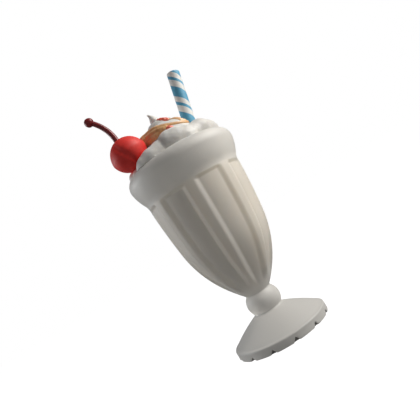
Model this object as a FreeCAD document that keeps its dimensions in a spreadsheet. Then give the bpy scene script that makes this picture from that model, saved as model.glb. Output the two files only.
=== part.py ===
import FreeCAD, Part
import Sketcher
import math
import os

# A vanilla milkshake in a tulip soda-fountain glass: pressed glass with eight sunk panels,
# the shake inside it, piped whipped cream on top, a cherry with its stem, and a paper straw.
# The frame has its origin at the middle of the foot's underside, +Z up, in millimetres.

Vector = FreeCAD.Vector
Rotation = FreeCAD.Rotation
Placement = FreeCAD.Placement

# Driving sizes: name, value, meaning. Lengths are in millimetres and angles in degrees.
SIZES = (
    ("glass_height", 170.0, "foot underside to the top of the lip"),
    ("foot_radius", 41.4, "outside of the foot's rim"),
    ("foot_rim_height", 6.0, "upright rim of the foot"),
    ("foot_edge", 1.4, "width of the round between the foot's rim and its cone"),
    ("foot_shoulder", 1.3, "height of that round"),
    ("foot_round", 1.6, "radius of that round"),
    ("foot_hollow", 1.5, "depth of the hollow under the foot"),
    ("foot_ring", 9.0, "width of the ring that the foot stands on"),
    ("notch_count", 13.0, "small notches round the foot's lower edge"),
    ("notch_width", 5.4, "width of a notch at the bottom"),
    ("notch_height", 3.4, "height of a notch"),
    ("notch_depth", 2.4, "how far a notch goes in"),
    ("notch_turn", 8.97, "first notch, from the first panel"),
    ("knop_foot_height", 22.9, "where the foot's cone meets the knop"),
    ("knop_foot_radius", 12.3, "radius there"),
    ("knop_radius", 15.0, "widest part of the ball-like knop"),
    ("bowl_foot_height", 39.8, "where the knop meets the bowl"),
    ("bowl_foot_radius", 11.0, "radius there"),
    ("bowl_swell_height", 96.5, "where the lower curve passes into the upper one"),
    ("swell_inset", 9.9, "radius there, less than the collar's"),
    ("bowl_low_curve", 97.3, "radius of the lower curve of the bowl"),
    ("bowl_high_curve", 480.0, "radius of the upper curve of the bowl"),
    ("neck_drop", 26.5, "lip down to the neck, where bowl, collar and the shake's top meet"),
    ("neck_inset", 6.1, "radius there, less than the collar's"),
    ("collar_drop", 9.5, "lip down to the widest part of the collar"),
    ("collar_radius", 48.8, "radius there, the widest of the whole glass"),
    ("collar_flare", 60.0, "curve of the flare under the collar's widest part"),
    ("collar_round", 9.6, "curve of the collar's shoulder"),
    ("lip_inset", 4.6, "outer edge of the lip's flat top, inside the collar's radius"),
    ("lip_width", 0.9, "flat top of the lip"),
    ("lip_inner_drop", 1.2, "rounding of the lip's inner edge"),
    ("wall", 4.0, "glass between the ribs' outside and the inside"),
    ("floor_height", 48.0, "inside bottom of the bowl"),
    ("floor_round_height", 56.0, "where the inside bottom's round ends"),
    ("panel_count", 8.0, "sunk panels round the bowl"),
    ("panel_turn", 20.0, "first panel, from +X"),
    ("panel_angle", 30.0, "width of a panel"),
    ("panel_depth", 2.2, "how far a panel is sunk"),
    ("panel_drop", 1.0, "neck down to the upper edge of the panels"),
    ("panel_bevel", 3.0, "height of the slope at the panels' upper edge"),
    ("panel_clear", 12.0, "how far the panel cutter reaches outside the neck"),
    ("straw_radius", 5.8, "outside of the straw"),
    ("straw_wall", 0.6, "wall of the straw"),
    ("straw_more", 18.0, "the straw's length beyond the glass's height"),
    ("straw_foot_x", -6.3, "middle of the straw's lower end"),
    ("straw_foot_y", -2.9, "middle of the straw's lower end"),
    ("straw_rise", 8.0, "lower end of the straw above the inside bottom"),
    ("straw_lean", 13.8, "tilt of the straw from upright"),
    ("straw_azimuth", 22.0, "the way the straw leans, from +X"),
    ("cream_lobes", 7.0, "lobes round the whipped cream"),
    ("cream_inset", 5.2, "lowest tier's lobes, inside the collar's radius"),
    ("cream_rise", 13.5, "height of the lowest tier"),
    ("middle_inset", 17.3, "middle tier, inside the collar's radius"),
    ("middle_rise", 11.5, "height of the middle tier"),
    ("top_inset", 31.8, "top tier, inside the collar's radius"),
    ("top_rise", 9.0, "height of the top tier"),
    ("cream_crease", 0.12, "creases of the lowest tier, as a share of its radius"),
    ("middle_crease", 0.18, "creases of the middle tier"),
    ("top_crease", 0.22, "creases of the top tier"),
    ("tier_bulge", 0.6, "how far a tier bulges out, as a share of its height"),
    ("lobe_power", 0.6, "shape of the lobes: the lower, the narrower the creases"),
    ("crease_drop", 0.3, "how much lower a tier is in its creases, as a share of its height"),
    ("peak_share", 0.5, "foot of the peak, as a share of the top tier's radius"),
    ("peak_power", 0.8, "shape of the peak: 1 for a straight cone, less for a fuller one"),
    ("peak_tip", 0.6, "radius of the peak's tip"),
    ("peak_rise", 10.0, "height of the curled peak above the top tier"),
    ("peak_curl", 5.5, "how far the peak's tip leans over"),
    ("peak_azimuth", 185.0, "the way the peak leans, from +X"),
    ("cherry_radius", 15.8, "cherry, across its widest part"),
    ("cherry_height", 27.8, "cherry, from its bottom to its shoulder"),
    ("cherry_shoulder", 5.6, "radius of the crest round the hollow at the stem"),
    ("cherry_dimple", 2.6, "depth of the hollow round the stem"),
    ("cherry_inset", 11.7, "middle of the cherry, inside the collar's radius"),
    ("cherry_azimuth", 210.8, "the way from the axis to the cherry, from +X"),
    ("cherry_lift", 17.2, "middle of the cherry above the lip"),
    ("cherry_lean", 10.0, "tilt of the cherry towards the left"),
    ("stem_radius", 2.5, "stem"),
    ("stem_lean", 4.0, "tilt of the stem's foot towards the left"),
    ("stem_straight", 5.2, "straight part of the stem from the dimple up"),
    ("stem_curve", 33.0, "radius of the stem's bend"),
    ("stem_bend", 47.0, "angle of the stem's bend"),
    ("stem_azimuth", 190.0, "the way the stem bends, from +X"),
    ("stem_knob", 4.1, "radius of the knob at the stem's end"),
)

doc = FreeCAD.newDocument("milkshake")
sheet = doc.addObject("Spreadsheet::Sheet", "Sizes")
for line, (name, number, meaning) in enumerate(SIZES, 1):
    sheet.set("A%d" % line, meaning)
    sheet.set("B%d" % line, str(number))
    sheet.setAlias("B%d" % line, name)
doc.recompute()


def size(name):
    """The present value of a named size."""
    return float(sheet.get(name))


def count(name):
    """The present value of a named size that is a whole number."""
    return int(round(size(name)))


def work_out(text):
    """The number that an expression of named sizes stands for."""
    return float(sheet.evalExpression(text))


def on_sheet(text):
    """The same expression as other objects write it, with the sheet's name before each size."""
    for name, _, _ in sorted(SIZES, key=lambda row: -len(row[0])):
        text = text.replace(name, "\x01" + name.upper() + "\x02")
    for name, _, _ in SIZES:
        text = text.replace("\x01" + name.upper() + "\x02", "Sizes." + name)
    return text


def origin_part(body, role):
    """One of a body's own origin planes or axes, such as XZ_Plane."""
    return next(part for part in body.Origin.OriginFeatures if part.Role == role)


def arc_between(start, end, radius):
    """A counter-clockwise arc from start to end, no more than a half circle."""
    way = end - start
    half = way.Length / 2
    outward = Vector(way.y, -way.x, 0).normalize()
    rise = radius - math.sqrt(max(radius ** 2 - half ** 2, 0.0))
    return Part.Arc(start, (start + end) * 0.5 + outward * rise, end)


def outline(sketch, stops):
    """Draws a closed outline in a sketch and ties each stop to the named sizes.

    A stop is (x, y, radius, bulge_right): its place, and the arc that leads to it from the stop
    before, bulging to the right or left of its way, or None and None for a straight line.
    """
    places = [Vector(work_out(stop[0]), work_out(stop[1]), 0) for stop in stops]
    ends = []
    for index, (_, _, radius, bulge_right) in enumerate(stops):
        start, end = places[index - 1], places[index]
        if radius is None:
            ends.append((sketch.addGeometry(Part.LineSegment(start, end), False), 1, 2))
            continue
        if bulge_right:
            edge = sketch.addGeometry(arc_between(start, end, work_out(radius)), False)
            ends.append((edge, 1, 2))
        else:
            edge = sketch.addGeometry(arc_between(end, start, work_out(radius)), False)
            ends.append((edge, 2, 1))
        rule = sketch.addConstraint(Sketcher.Constraint("Radius", edge, work_out(radius)))
        sketch.setExpression("Constraints[%d]" % rule, on_sheet(radius))
    for index, (x, y, _, _) in enumerate(stops):
        edge, _, last = ends[index]
        after, first, _ = ends[(index + 1) % len(stops)]
        sketch.addConstraint(Sketcher.Constraint("Coincident", edge, last, after, first))
        for kind, text in (("DistanceX", x), ("DistanceY", y)):
            if text == "0":
                axis = -2 if kind == "DistanceX" else -1
                sketch.addConstraint(Sketcher.Constraint("PointOnObject", edge, last, axis))
                continue
            rule = sketch.addConstraint(Sketcher.Constraint(kind, -1, 1, edge, last, work_out(text)))
            sketch.setExpression("Constraints[%d]" % rule, on_sheet(text))


def sketch_on(body, name, role):
    """A sketch that lies on one of the body's origin planes."""
    sketch = body.newObject("Sketcher::SketchObject", name)
    sketch.AttachmentSupport = (origin_part(body, role), [""])
    sketch.MapMode = "FlatFace"
    return sketch


def turned(body, name, stops):
    """A full turn of an outline drawn in the XZ plane, about the body's upright axis."""
    sketch = sketch_on(body, name + "_outline", "XZ_Plane")
    outline(sketch, stops)
    turn = body.newObject("PartDesign::Revolution", name)
    turn.Profile = sketch
    turn.ReferenceAxis = (sketch, ["V_Axis"])
    turn.Angle = 360.0
    doc.recompute()
    return turn


# Sizes that follow from others: the bowl, lip and cream keep their steps from the collar.
SWELL_RADIUS = "(collar_radius - swell_inset)"
NECK_RADIUS = "(collar_radius - neck_inset)"
LIP_RADIUS = "(collar_radius - lip_inset)"
NECK_HEIGHT = "(glass_height - neck_drop)"
PANEL_TOP = "(glass_height - neck_drop - panel_drop)"
STRAW_LENGTH = "(glass_height + straw_more)"

# The inside of the bowl, from the lip's inner edge down to the middle of its bottom. The shake,
# the cream and the glass all use it, so they meet face to face.
INSIDE_LIP = (LIP_RADIUS + " - lip_width - lip_inner_drop", "glass_height - lip_inner_drop")
INSIDE_NECK = (NECK_RADIUS + " - wall", NECK_HEIGHT)
INSIDE_SWELL = (SWELL_RADIUS + " - wall", "bowl_swell_height")
FLOOR_RADIUS = (
    "(bowl_foot_radius + (collar_radius - swell_inset - bowl_foot_radius)"
    " * (floor_round_height - bowl_foot_height) / (bowl_swell_height - bowl_foot_height))"
)
INSIDE_ROUND = (FLOOR_RADIUS, "floor_round_height")


def cap_curve(radius, rise):
    """The radius of an arc that is level at the axis and rises to a radius."""
    return "((%s) ^ 2 + (%s) ^ 2) / (2 * (%s))" % (radius, rise, rise)


FLOOR_CURVE = cap_curve(FLOOR_RADIUS, "floor_round_height - floor_height")
KNOP_HALF = "((bowl_foot_height - knop_foot_height) / 2)"
KNOP_BULGE = "(knop_radius - (knop_foot_radius + bowl_foot_radius) / 2)"
KNOP_CURVE = cap_curve(KNOP_HALF, KNOP_BULGE)


def repeated(body, feature, name, number):
    """A cut repeated round the body's upright axis; it must take material away each time."""
    doc.recompute()
    before = feature.BaseFeature.Shape.Volume
    once = before - feature.Shape.Volume
    pattern = body.newObject("PartDesign::PolarPattern", name)
    pattern.Originals = [feature]
    pattern.Axis = (origin_part(body, "Z_Axis"), [""])
    pattern.Angle = 360.0
    pattern.setExpression("Occurrences", on_sheet(number))
    body.Tip = pattern
    doc.recompute()
    total = before - pattern.Shape.Volume
    if once <= 0 or abs(total / once - count(number)) > 0.01 * count(number):
        raise RuntimeError("%s cut %.2f once and %.2f in all" % (name, once, total))


def make_glass():
    """The pressed glass: foot, knop, bowl, collar and lip in one turn, then panels and notches."""
    body = doc.addObject("PartDesign::Body", "Glass")
    body.Label = "glass"
    turned(body, "GlassTurn", (
        ("0", "foot_hollow", None, None),
        ("foot_radius - foot_ring", "foot_hollow", None, None),
        ("foot_radius - foot_ring + foot_hollow", "0", None, None),
        ("foot_radius", "0", None, None),
        ("foot_radius", "foot_rim_height", None, None),
        ("foot_radius - foot_edge", "foot_rim_height + foot_shoulder", "foot_round", True),
        ("knop_foot_radius", "knop_foot_height", None, None),
        ("bowl_foot_radius", "bowl_foot_height", KNOP_CURVE, True),
        (SWELL_RADIUS, "bowl_swell_height", "bowl_low_curve", True),
        (NECK_RADIUS, NECK_HEIGHT, "bowl_high_curve", True),
        ("collar_radius", "glass_height - collar_drop", "collar_flare", True),
        (LIP_RADIUS, "glass_height", "collar_round", True),
        (LIP_RADIUS + " - lip_width", "glass_height", None, None),
        INSIDE_LIP + ("lip_inner_drop", True),
        INSIDE_NECK + (None, None),
        INSIDE_SWELL + ("bowl_high_curve", False),
        INSIDE_ROUND + ("bowl_low_curve", False),
        ("0", "floor_height", FLOOR_CURVE, False),
    ))
    panel = sketch_on(body, "Panel_outline", "XZ_Plane")
    outline(panel, (
        ("bowl_foot_radius", "bowl_foot_height", "bowl_low_curve", False),
        (NECK_RADIUS + " + panel_clear", "bowl_foot_height", None, None),
        (NECK_RADIUS + " + panel_clear", PANEL_TOP, None, None),
        (NECK_RADIUS, PANEL_TOP, None, None),
        (NECK_RADIUS + " - panel_depth", PANEL_TOP + " - panel_bevel", None, None),
        (SWELL_RADIUS + " - panel_depth", "bowl_swell_height", "bowl_high_curve", False),
    ))
    groove = body.newObject("PartDesign::Groove", "Panel")
    groove.Profile = panel
    groove.ReferenceAxis = (panel, ["V_Axis"])
    groove.Midplane = True
    groove.setExpression("Angle", on_sheet("panel_angle"))
    repeated(body, groove, "Panels", "panel_count")
    notch = sketch_on(body, "Notch_outline", "YZ_Plane")
    outline(notch, (
        ("-notch_width / 2", "0", None, None),
        ("notch_width / 2", "0", None, None),
        ("0", "notch_height", None, None),
    ))
    turn = size("notch_turn")
    reach = size("foot_radius") - size("notch_depth")
    notch.AttachmentOffset = Placement(
        Vector(reach * math.sin(math.radians(turn)), 0, reach * math.cos(math.radians(turn))),
        Rotation(Vector(0, 1, 0), turn),
    )
    pocket = body.newObject("PartDesign::Pocket", "Notch")
    pocket.Profile = notch
    pocket.Reversed = True
    pocket.setExpression("Length", on_sheet("notch_depth * 2"))
    repeated(body, pocket, "Notches", "notch_count")
    body.Placement = Placement(Vector(), Rotation(Vector(0, 0, 1), size("panel_turn")))
    return body


def straw_placement():
    """The straw's lower end stands near the middle of the bowl's bottom, and it leans."""
    lean = Rotation(Vector(0, 1, 0), size("straw_lean"))
    swing = Rotation(Vector(0, 0, 1), size("straw_azimuth"))
    foot = Vector(
        size("straw_foot_x"), size("straw_foot_y"), size("floor_height") + size("straw_rise")
    )
    return Placement(foot, swing.multiply(lean))


def make_straw():
    """A round paper straw, open from end to end."""
    body = doc.addObject("PartDesign::Body", "Straw")
    body.Label = "straw"
    rings = sketch_on(body, "Straw_rings", "XY_Plane")
    for radius in ("straw_radius", "straw_radius - straw_wall"):
        circle = Part.Circle(Vector(), Vector(0, 0, 1), work_out(radius))
        edge = rings.addGeometry(circle, False)
        rings.addConstraint(Sketcher.Constraint("Coincident", edge, 3, -1, 1))
        rule = rings.addConstraint(Sketcher.Constraint("Radius", edge, work_out(radius)))
        rings.setExpression("Constraints[%d]" % rule, on_sheet(radius))
    pad = body.newObject("PartDesign::Pad", "Straw_tube")
    pad.Profile = rings
    pad.setExpression("Length", on_sheet(STRAW_LENGTH))
    body.Placement = straw_placement()
    return body


def make_straw_room():
    """The whole round of the straw, which shake and cream leave free."""
    room = doc.addObject("Part::Cylinder", "Straw_room")
    room.setExpression("Radius", on_sheet("straw_radius"))
    room.setExpression("Height", on_sheet(STRAW_LENGTH))
    room.Placement = straw_placement()
    return room


def cut_round(name, label, base, tools):
    """A piece with the room of its neighbours taken out of it, one after another."""
    piece = base
    for number, tool in enumerate(tools, 1):
        cut = doc.addObject("Part::Cut", "%s_%d" % (name, number))
        cut.Base = piece
        cut.Tool = tool
        piece = cut
    piece.Label = label
    return piece


def make_shake(straw_room):
    """The shake fills the bowl up to the neck, round the straw."""
    body = doc.addObject("PartDesign::Body", "Shake_body")
    turned(body, "ShakeTurn", (
        ("0", NECK_HEIGHT, None, None),
        ("0", "floor_height", None, None),
        INSIDE_ROUND + (FLOOR_CURVE, True),
        INSIDE_SWELL + ("bowl_low_curve", True),
        INSIDE_NECK + ("bowl_high_curve", True),
    ))
    return cut_round("Shake", "milkshake", body, [straw_room])


def cherry_placement():
    """The cherry sits on the lip among the cream, and leans a little."""
    distance = work_out("collar_radius - cherry_inset")
    azimuth = math.radians(size("cherry_azimuth"))
    middle = Vector(
        distance * math.cos(azimuth),
        distance * math.sin(azimuth),
        work_out("glass_height + cherry_lift"),
    )
    return Placement(middle, Rotation(Vector(0, 1, 0), -size("cherry_lean")))


def make_cherry():
    """A whole cherry: a round fruit with a hollow where its stem sits."""
    body = doc.addObject("PartDesign::Body", "Cherry")
    body.Label = "cherry"
    half = "cherry_height / 2"
    under = cap_curve("cherry_radius", half)
    turned(body, "CherryTurn", (
        ("0", "-" + half, None, None),
        ("cherry_radius", "0", under, True),
        ("cherry_shoulder", half, under, True),
        ("stem_radius", half + " - cherry_dimple", "cherry_shoulder", True),
        ("0", half + " - cherry_dimple", None, None),
    ))
    body.Placement = cherry_placement()
    return body


def make_stem():
    """The stem: straight out of the cherry's hollow, then bent, with a knob at its end."""
    straight = doc.addObject("Part::Cylinder", "Stem_straight")
    straight.setExpression("Radius", on_sheet("stem_radius"))
    straight.setExpression("Height", on_sheet("stem_straight"))
    bend = doc.addObject("Part::Torus", "Stem_bend")
    bend.setExpression("Radius1", on_sheet("stem_curve"))
    bend.setExpression("Radius2", on_sheet("stem_radius"))
    bend.setExpression("Angle3", on_sheet("stem_bend"))
    upright = Rotation(Vector(-1, 0, 0), Vector(0, 0, 1), Vector(0, 1, 0), "XYZ")
    bend.Placement = Placement(Vector(size("stem_curve"), 0, size("stem_straight")), upright)
    knob = doc.addObject("Part::Sphere", "Stem_knob")
    knob.setExpression("Radius", on_sheet("stem_knob"))
    angle = math.radians(size("stem_bend"))
    end = Vector(
        size("stem_curve") * (1 - math.cos(angle)),
        0,
        size("stem_straight") + size("stem_curve") * math.sin(angle),
    )
    knob.Placement = Placement(end, Rotation())
    stem = doc.addObject("Part::MultiFuse", "Stem")
    stem.Label = "cherry_stem"
    stem.Shapes = [straight, bend, knob]
    dimple = Vector(0, 0, size("cherry_height") / 2 - size("cherry_dimple"))
    lean = Rotation(Vector(0, 1, 0), -size("stem_lean"))
    swing = Rotation(Vector(0, 0, 1), size("stem_azimuth"))
    stem.Placement = Placement(cherry_placement().multVec(dimple), lean.multiply(swing))
    return stem


# Points round each ring of cream, slopes of a tier's rings in degrees (0 is its widest), and
# rings of the peak.
RING_POINTS = 84
TIER_SLOPES = (-32.6, 0.0, 35.0, 62.0, 85.0)
PEAK_RINGS = 5


def closed_curve(points):
    """A smooth closed curve through points."""
    curve = Part.BSplineCurve()
    curve.interpolate(points, PeriodicFlag=True)
    return Part.Wire(curve.toShape())


def tier_rings(base, radius, rise, depth, turn):
    """The rings of one tier of cream, which bulges out and has lobes with creases between."""
    rings = []
    low = math.sin(math.radians(TIER_SLOPES[0]))
    bulge = rise * size("tier_bulge")
    for degrees in TIER_SLOPES:
        slope = math.radians(degrees)
        climb = (math.sin(slope) - low) / (1 - low)
        points = []
        for number in range(RING_POINTS):
            around = 2 * math.pi * number / RING_POINTS
            lobe = abs(math.cos(size("cream_lobes") * (around - turn) / 2))
            crease = 1 - lobe ** size("lobe_power")
            reach = radius * (1 - depth * crease) - bulge * (1 - math.cos(slope))
            height = base + rise * climb * (1 - size("crease_drop") * crease)
            points.append(Vector(reach * math.cos(around), reach * math.sin(around), height))
        rings.append(closed_curve(points))
    return rings


def peak_rings(base):
    """The rings of the curled peak, which narrows to its tip as it leans over."""
    foot = work_out("(collar_radius - top_inset) * peak_share")
    azimuth = math.radians(size("peak_azimuth"))
    rings = []
    for step in range(1, PEAK_RINGS + 1):
        share = step / PEAK_RINGS
        reach = foot * (1 - share) ** size("peak_power") + size("peak_tip")
        lean = size("peak_curl") * share ** 2
        middle = Vector(
            lean * math.cos(azimuth),
            lean * math.sin(azimuth),
            base + size("peak_rise") * share,
        )
        points = []
        for number in range(RING_POINTS):
            around = 2 * math.pi * number / RING_POINTS
            points.append(middle + Vector(reach * math.cos(around), reach * math.sin(around), 0))
        rings.append(closed_curve(points))
    return rings


def make_cream(straw_room, cherry):
    """Whipped cream: a plug in the collar, three lobed tiers and a curled peak."""
    plug = doc.addObject("PartDesign::Body", "Cream_plug")
    turned(plug, "PlugTurn", (
        ("0", "glass_height", None, None),
        ("0", NECK_HEIGHT, None, None),
        INSIDE_NECK + (None, None),
        INSIDE_LIP + (None, None),
        (INSIDE_LIP[0], "glass_height", None, None),
    ))
    base = size("glass_height")
    turn = math.radians(size("panel_turn"))
    rings = []
    for tier in ("cream", "middle", "top"):
        rise = size(tier + "_rise")
        depth = size(tier + "_crease")
        radius = work_out("collar_radius - %s_inset" % tier)
        rings += tier_rings(base, radius, rise, depth, turn)
        base += rise
        turn += math.pi / size("cream_lobes")
    rings += peak_rings(base)
    mound = doc.addObject("Part::Feature", "Cream_mound")
    mound.Shape = Part.makeLoft(rings, True, False)
    whole = doc.addObject("Part::MultiFuse", "Cream_whole")
    whole.Shapes = [plug, mound]
    return cut_round("Cream", "whipped_cream", whole, [straw_room, cherry])


def main():
    """Builds every piece, checks each one and writes it to its own file."""
    glass = make_glass()
    straw = make_straw()
    straw_room = make_straw_room()
    shake = make_shake(straw_room)
    cherry = make_cherry()
    stem = make_stem()
    cream = make_cream(straw_room, cherry)
    doc.recompute()
    for item in doc.Objects:
        if "Invalid" in item.State or "Error" in item.State:
            raise RuntimeError("%s is %s" % (item.Name, item.State))
    os.makedirs("parts", exist_ok=True)
    for piece in (glass, shake, cream, cherry, stem, straw):
        shape = piece.Shape
        if shape.isNull() or not shape.isValid():
            raise RuntimeError("%s has no valid shape" % piece.Label)
        shape.exportStep("parts/%s.step" % piece.Label)
        box = shape.BoundBox
        print(
            "%-14s %d solid(s), %8.0f mm3, z %.1f to %.1f"
            % (piece.Label, len(shape.Solids), shape.Volume, box.ZMin, box.ZMax)
        )


main()
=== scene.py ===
import math
import bmesh
import bpy
import numpy as np
from mathutils import Matrix, Vector


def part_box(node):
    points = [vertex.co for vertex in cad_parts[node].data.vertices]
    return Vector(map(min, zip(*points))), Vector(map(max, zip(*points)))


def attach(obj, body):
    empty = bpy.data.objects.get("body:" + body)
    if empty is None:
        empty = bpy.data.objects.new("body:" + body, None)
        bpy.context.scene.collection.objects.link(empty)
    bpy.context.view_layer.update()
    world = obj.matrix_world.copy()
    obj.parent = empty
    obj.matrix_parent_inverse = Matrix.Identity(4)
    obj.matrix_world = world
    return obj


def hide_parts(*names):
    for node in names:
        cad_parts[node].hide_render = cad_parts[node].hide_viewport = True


# The looks of a vanilla milkshake in a tulip soda-fountain glass. Shapes are worked out in
# millimetres in the frame's own axes, and every mesh is written in metres.

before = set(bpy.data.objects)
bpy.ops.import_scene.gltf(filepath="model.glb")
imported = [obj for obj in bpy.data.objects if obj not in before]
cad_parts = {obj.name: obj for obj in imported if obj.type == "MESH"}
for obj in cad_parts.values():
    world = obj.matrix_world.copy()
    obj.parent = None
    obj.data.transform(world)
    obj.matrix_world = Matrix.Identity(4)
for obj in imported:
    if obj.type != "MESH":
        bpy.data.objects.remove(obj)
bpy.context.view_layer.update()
MM = 0.001


def box_mm(node):
    """Lowest and highest corner of a CAD node, in millimetres."""
    low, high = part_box(node)
    return np.array(low) / MM, np.array(high) / MM


# ---------------------------------------------------------------- sizes, in millimetres
_, GLASS_HIGH = box_mm("glass")
CHERRY_LOW, CHERRY_HIGH = box_mm("cherry")
STRAW_LOW, STRAW_HIGH = box_mm("straw")
SHAKE_LOW, SHAKE_HIGH = box_mm("milkshake")
LIP_TOP = float(GLASS_HIGH[2])
NECK = float(SHAKE_HIGH[2])
FLOOR = float(SHAKE_LOW[2])
STRAW_MIDDLE = (STRAW_LOW + STRAW_HIGH) / 2
WALL = 4.0
# How far the shake and the cream reach into the glass's wall, so that no gap shows.
REACH_IN = 0.15
CREAM_REACH_IN = REACH_IN * 0.8
PANELS = 8
PANEL_TURN = math.radians(20)
PANEL_HALF = math.radians(15)
PANEL_SLOPE = 5.4
PANEL_DEPTH = 2.0
# The panels are deeper low on the bowl: by how much, at which height and how far up and down.
PANEL_DEEPER = 0.9
PANEL_DEEPEST = 62.0
PANEL_DEEPER_REACH = 13.0
PANEL_RISE = 15.0
PANEL_TOP = NECK - 1.0
PANEL_BEVEL = 3.4
NOTCHES = 13
NOTCH_TURN = math.radians(28.97)
NOTCH_WIDTH = 5.4
NOTCH_HEIGHT = 3.4
NOTCH_DEPTH = 2.4
NOTCH_EDGE = 0.5
STRAW_RADIUS = 5.8
STRAW_WALL = 0.6
STRAW_LENGTH = 188.0
STRAW_LEAN = math.radians(13.8)
STRAW_AZIMUTH = math.radians(22)
CHERRY_RADIUS = 15.8
CHERRY_HEIGHT = 27.8
CHERRY_LEAN = math.radians(10)
STEM_LEAN = math.radians(2.5)
CHERRY_MIDDLE = (CHERRY_LOW + CHERRY_HIGH) / 2
CHERRY_MIDDLE[2] = CHERRY_LOW[2] + CHERRY_HEIGHT / 2
STEM_AZIMUTH = math.radians(190)


# ---------------------------------------------------------------- mesh helpers
def mesh_object(name, points, faces, smooth=True):
    """A mesh object from points in millimetres and faces of equal length."""
    points = np.asarray(points, dtype=np.float64) * MM
    faces = np.asarray(faces, dtype=np.int32)
    mesh = bpy.data.meshes.new(name)
    mesh.vertices.add(len(points))
    mesh.vertices.foreach_set("co", points.ravel())
    mesh.loops.add(faces.size)
    mesh.loops.foreach_set("vertex_index", faces.ravel())
    mesh.polygons.add(len(faces))
    starts = np.arange(0, faces.size, faces.shape[1], dtype=np.int32)
    mesh.polygons.foreach_set("loop_start", starts)
    mesh.update(calc_edges=True)
    mesh.validate()
    mesh.polygons.foreach_set("use_smooth", np.full(len(mesh.polygons), smooth))
    piece = bpy.data.objects.new(name, mesh)
    bpy.context.collection.objects.link(piece)
    return piece


def grid_faces(rows, columns, close_rows=False):
    """Quads between neighbouring rings of points; each ring is closed."""
    row = np.arange(rows if close_rows else rows - 1)
    column = np.arange(columns)
    r, c = np.meshgrid(row, column, indexing="ij")
    ahead = (c + 1) % columns
    here, above = r * columns, (r + 1) % rows * columns
    return np.stack([here + c, here + ahead, above + ahead, above + c], -1).reshape(-1, 4)


def arc(start, end, radius, steps, bulge=1):
    """Points of an arc after its start, bulging to the right of its way, or left with bulge -1."""
    start, end = np.array(start, float), np.array(end, float)
    way = end - start
    half = np.linalg.norm(way) / 2
    right = np.array([way[1], -way[0]]) / (2 * half) * bulge
    centre = (start + end) / 2 - right * math.sqrt(radius ** 2 - half ** 2)
    first = math.atan2(*(start - centre)[::-1])
    turn = 2 * math.asin(half / radius) * bulge
    angles = first + turn * np.arange(1, steps + 1) / steps
    return centre + radius * np.stack([np.cos(angles), np.sin(angles)], 1)


def line(start, end, steps):
    """Points of a straight stretch after its start."""
    share = (np.arange(1, steps + 1) / steps)[:, None]
    return np.array(start) + (np.array(end) - np.array(start)) * share


def smooth_step(value):
    """Eases a value from 0 to 1."""
    value = np.clip(value, 0, 1)
    return value * value * (3 - 2 * value)


# ---------------------------------------------------------------- the glass
# Places on the outline are given as (radius, height).
FOOT_RADIUS = 41.4
FOOT_EDGE = 0.6
FOOT_RIM = 6.0
FOOT_ROUND = 1.6
FOOT_SHOULDER = (FOOT_RADIUS - 1.4, 7.3)
FOOT_HOLLOW = 1.5
FOOT_RING = FOOT_RADIUS - 9.0
CONE_CURVE = 160.0
KNOP_FOOT = (12.3, 22.9)
KNOP_CURVE = 12.0
BOWL_FOOT = (11.0, 39.8)
# The height at which the bowl's rounded bottom inside meets its side.
BOTTOM_EDGE = 56.0
SWELL = (38.9, 96.5)
COLLAR = (48.8, 160.5)
COLLAR_LOW_CURVE = 42.0
COLLAR_HIGH_CURVE = 9.8
LIP_RADIUS = 44.2
LIP_INNER = (LIP_RADIUS - 2.1, LIP_TOP - 1.2)
NECK_RADIUS = 42.7
LOW_CURVE = 97.3
HIGH_CURVE = 480.0
GLASS_COLUMNS = 480
SHAKE_COLUMNS = 192


def inside_outline(grow=0.0):
    """The inside of the bowl, from the middle of its bottom up to the lip, grown into the wall."""
    share = (BOTTOM_EDGE - BOWL_FOOT[1]) / (SWELL[1] - BOWL_FOOT[1])
    edge_radius = BOWL_FOOT[0] + (SWELL[0] - BOWL_FOOT[0]) * share
    rise = BOTTOM_EDGE - FLOOR
    bottom_curve = (edge_radius ** 2 + rise ** 2) / (2 * rise)
    stops = [np.array([[0.0, FLOOR - grow]])]
    edge = (edge_radius + grow, BOTTOM_EDGE - grow / 2)
    swell = (SWELL[0] - WALL + grow, SWELL[1])
    neck = (NECK_RADIUS - WALL + grow, NECK)
    lip = (LIP_INNER[0] + grow, LIP_INNER[1])
    stops.append(arc(stops[0][0], edge, bottom_curve, 16))
    stops.append(arc(edge, swell, LOW_CURVE, 36))
    stops.append(arc(swell, neck, HIGH_CURVE, 36))
    stops.append(line(neck, lip, 20))
    return np.concatenate(stops)


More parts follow.
